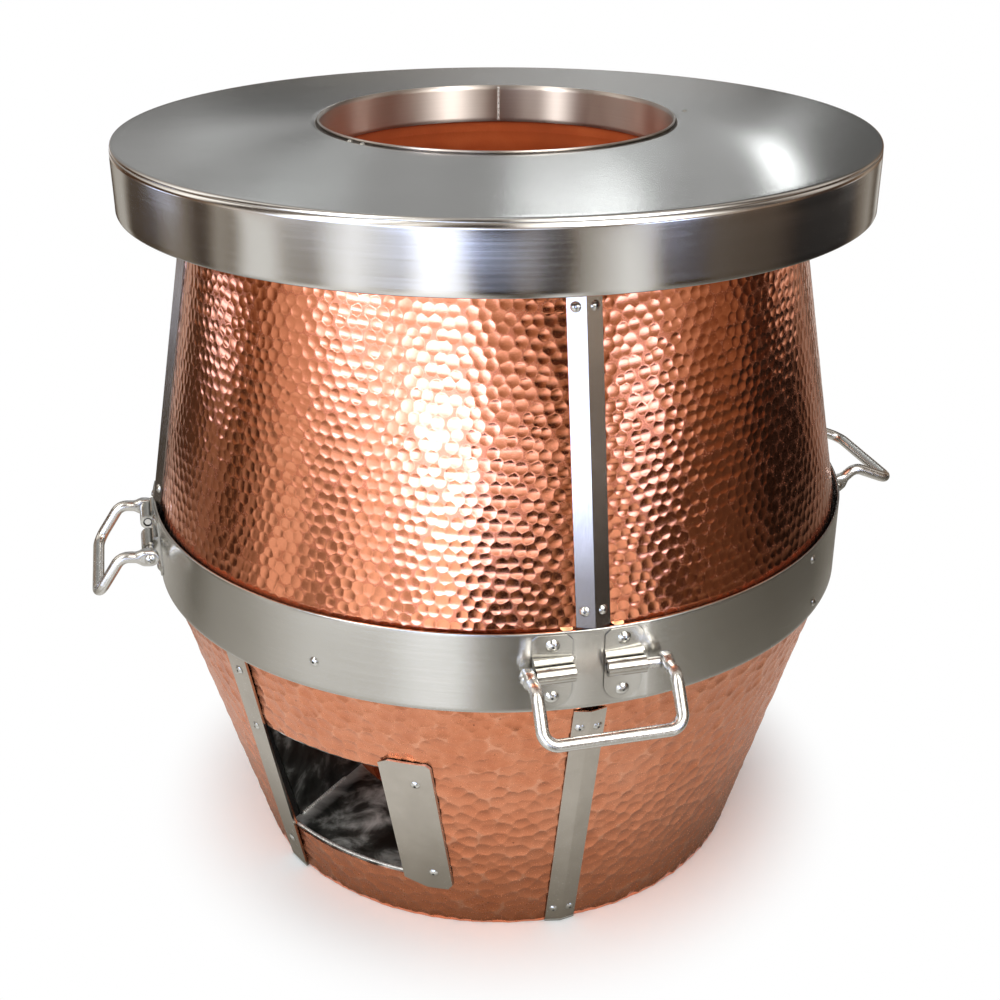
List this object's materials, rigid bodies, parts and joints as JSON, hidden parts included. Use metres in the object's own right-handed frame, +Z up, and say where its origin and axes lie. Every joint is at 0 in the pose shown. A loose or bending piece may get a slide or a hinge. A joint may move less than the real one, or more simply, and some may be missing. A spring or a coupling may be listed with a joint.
{
  "type": "tandoor oven",
  "caption": "Clay tandoor oven in a hammered copper casing with a steel top plate, waist band, draught opening and folding bail handles.",
  "frame": {"origin": "centre of the foot on the floor, on the oven's axis", "axes": "+Z up along the oven's axis, -Y towards the front seam strip and front handle, +X to the right seen from the front; the draught opening faces -X and -Y"},
  "size_m": [0.9001, 0.8894, 0.7913],
  "materials": {
    "copper_polished": "polished, hammered with small round dimples",
    "copper_satin": "satin, hammered with larger soft facets",
    "plate_steel": "brushed, radial sheen",
    "collar_steel": "brushed round the mouth",
    "band_steel": "satin",
    "strip_steel": "satin, handled",
    "rod_steel": "polished",
    "clip_steel": "polished, pressed sheet",
    "rivet_metal": "bright domed heads",
    "duct_steel": "dark, smudged",
    "base_steel": "mill finish",
    "terracotta": "unglazed clay",
    "firebrick": "rough",
    "wool": "mineral wool"
  },
  "bodies": {
    "root": {"base_plate": "base_steel", "hearth_slab": "firebrick", "pot_foot_ring": "terracotta", "pot_lower_ring": "terracotta", "pot_belly_ring": "terracotta", "pot_neck_ring": "terracotta", "insulation": "wool", "draught_duct": "duct_steel", "lower_shell_left": "copper_satin", "lower_shell_right": "copper_satin", "upper_panel_front_left": "copper_polished", "upper_panel_front_right": "copper_polished", "upper_panel_rear_right": "copper_polished", "upper_panel_rear_left": "copper_polished", "upper_strip_front": "strip_steel", "upper_strip_right": "strip_steel", "upper_strip_rear": "strip_steel", "upper_strip_left": "strip_steel", "lower_strip_front": "strip_steel", "lower_strip_rear": "strip_steel", "door_strip": "strip_steel", "door_plate": "band_steel", "waist_band": "band_steel", "rim_tabs": "clip_steel", "top_plate": "plate_steel", "top_skirt": "plate_steel", "mouth_collar": "collar_steel", "clip_front_left": "clip_steel", "clip_front_right": "clip_steel", "clip_right_left": "clip_steel", "clip_right_right": "clip_steel", "clip_rear_left": "clip_steel", "clip_rear_right": "clip_steel", "clip_left_left": "clip_steel", "clip_left_right": "clip_steel", "clip_rivets": "rivet_metal", "upper_strip_rivets": "rivet_metal", "lower_strip_rivets": "rivet_metal", "door_rivets": "rivet_metal", "band_rivets": "rivet_metal", "top_screws": "rivet_metal"},
    "handle_front": {"bail_front": "rod_steel", "pins_front": "rod_steel", "pin_screws_front": "rivet_metal"},
    "handle_right": {"bail_right": "rod_steel", "pins_right": "rod_steel", "pin_screws_right": "rivet_metal"},
    "handle_rear": {"bail_rear": "rod_steel", "pins_rear": "rod_steel", "pin_screws_rear": "rivet_metal"},
    "handle_left": {"bail_left": "rod_steel", "pins_left": "rod_steel", "pin_screws_left": "rivet_metal"}
  },
  "joints": [
    {"name": "swing_front", "type": "hinge", "parent": "root", "child": "handle_front", "pos_m": [0, -0.383, 0.3705], "axis": [-1, 0, 0], "range_deg": [-59, 80]},
    {"name": "swing_right", "type": "hinge", "parent": "root", "child": "handle_right", "pos_m": [0.383, 0, 0.3705], "axis": [0, -1, 0], "range_deg": [-92, 47]},
    {"name": "swing_rear", "type": "hinge", "parent": "root", "child": "handle_rear", "pos_m": [0, 0.383, 0.3705], "axis": [1, 0, 0], "range_deg": [-59, 80]},
    {"name": "swing_left", "type": "hinge", "parent": "root", "child": "handle_left", "pos_m": [-0.383, 0, 0.3705], "axis": [0, 1, 0], "range_deg": [-59, 80]}
  ]
}
